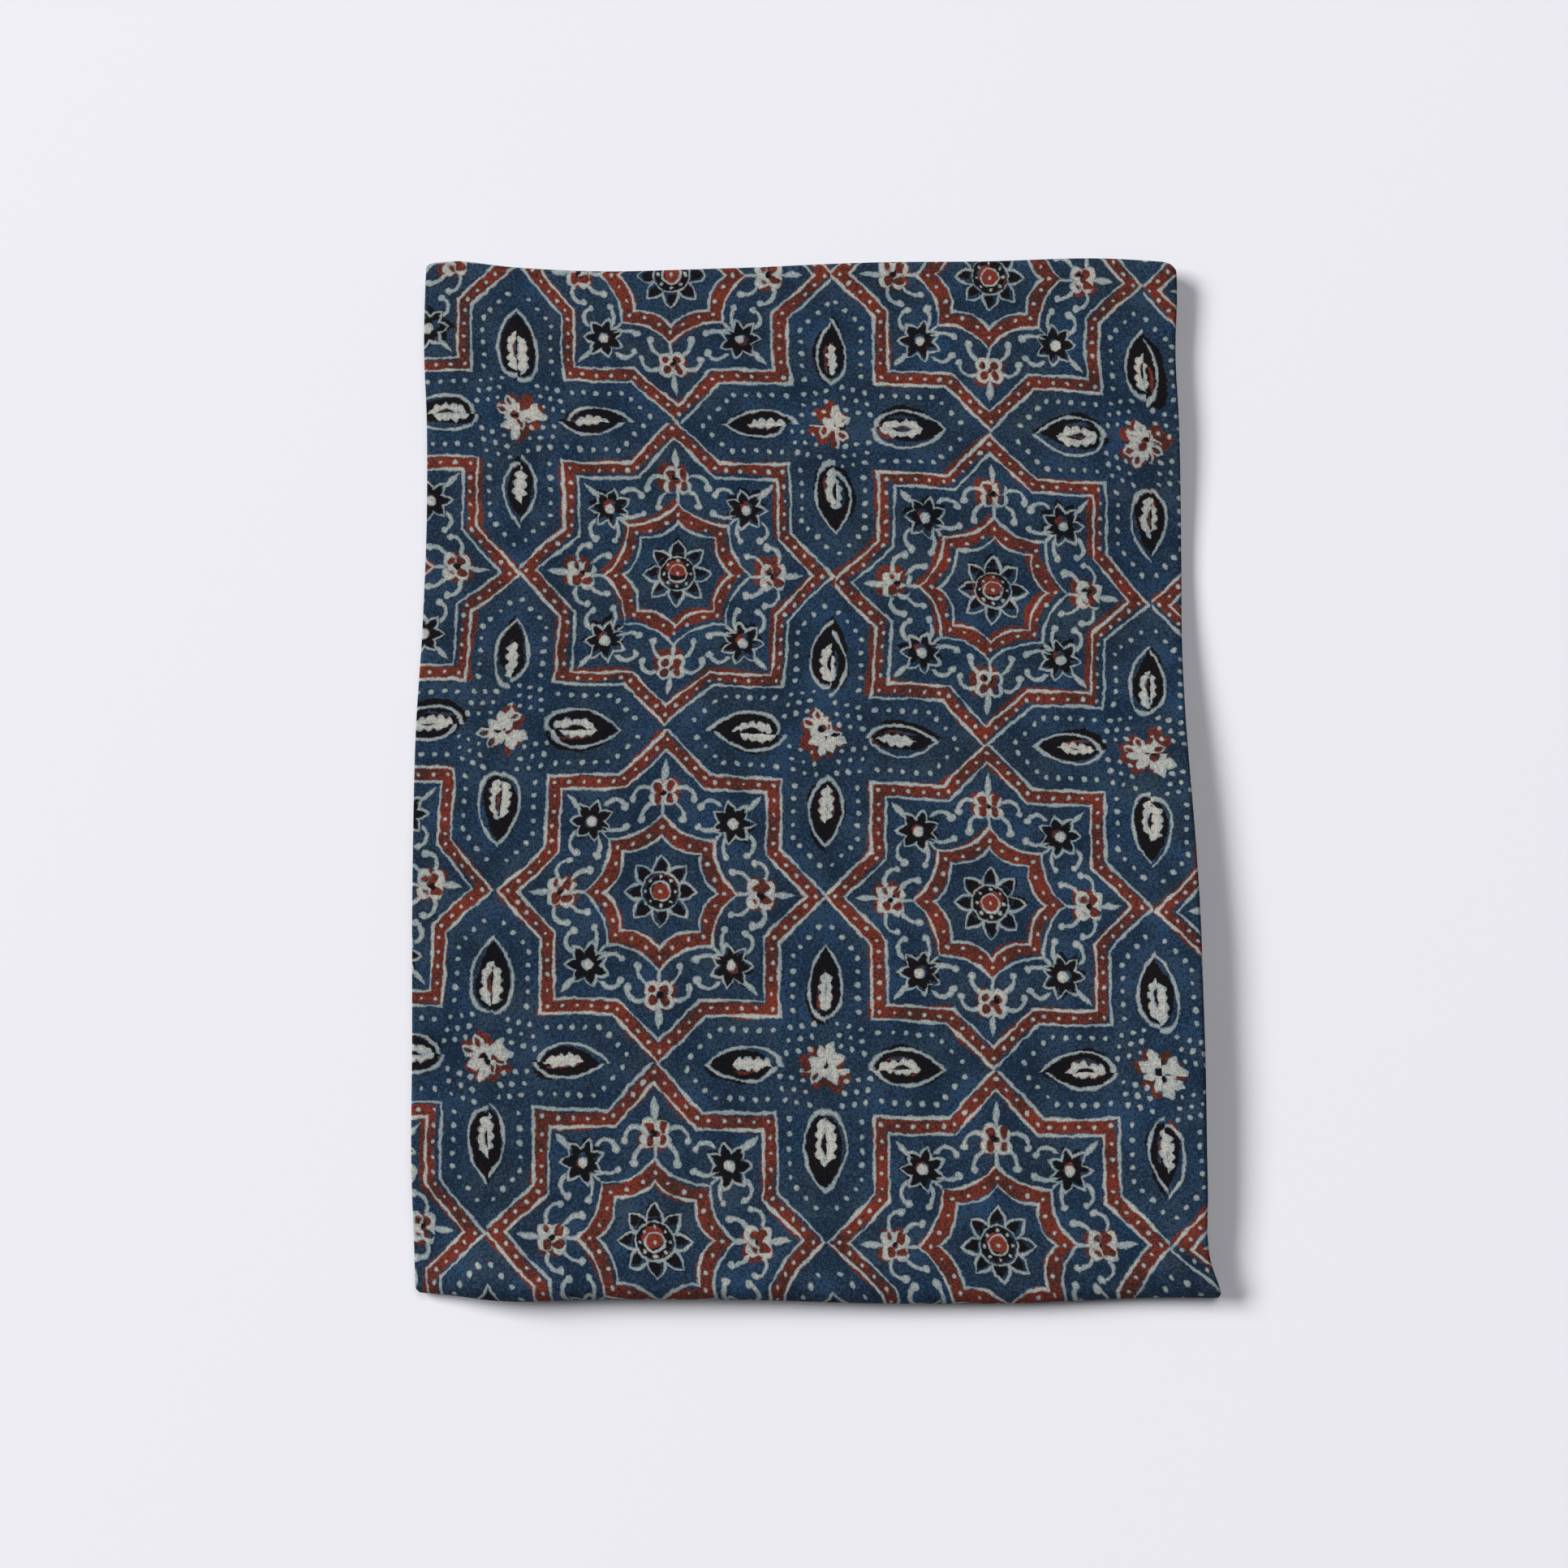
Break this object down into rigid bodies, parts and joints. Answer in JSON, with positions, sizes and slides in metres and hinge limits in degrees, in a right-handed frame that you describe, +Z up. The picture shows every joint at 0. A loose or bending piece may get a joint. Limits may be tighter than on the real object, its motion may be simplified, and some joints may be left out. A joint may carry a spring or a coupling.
{
  "type": "folded ajrakh cloth",
  "caption": "A length of hand block printed cotton, folded in thirds both ways into a flat rectangular stack with rounded fold edges.",
  "frame": {"origin": "middle of the folded cloth's footprint, on the surface that it lies on", "axes": "+Z up; +Y towards the far short edge of the stack, which is the top of the picture; +X towards the wrapped long edge, on the picture's right"},
  "size_m": [0.2804, 0.3764, 0.0127],
  "materials": {
    "printed_cotton": "matt plain-woven cotton, resist printed and dyed in indigo, madder red and black with pale undyed lines"
  },
  "bodies": {
    "root": {"ajrakh_cloth": "printed_cotton"}
  },
  "joints": []
}
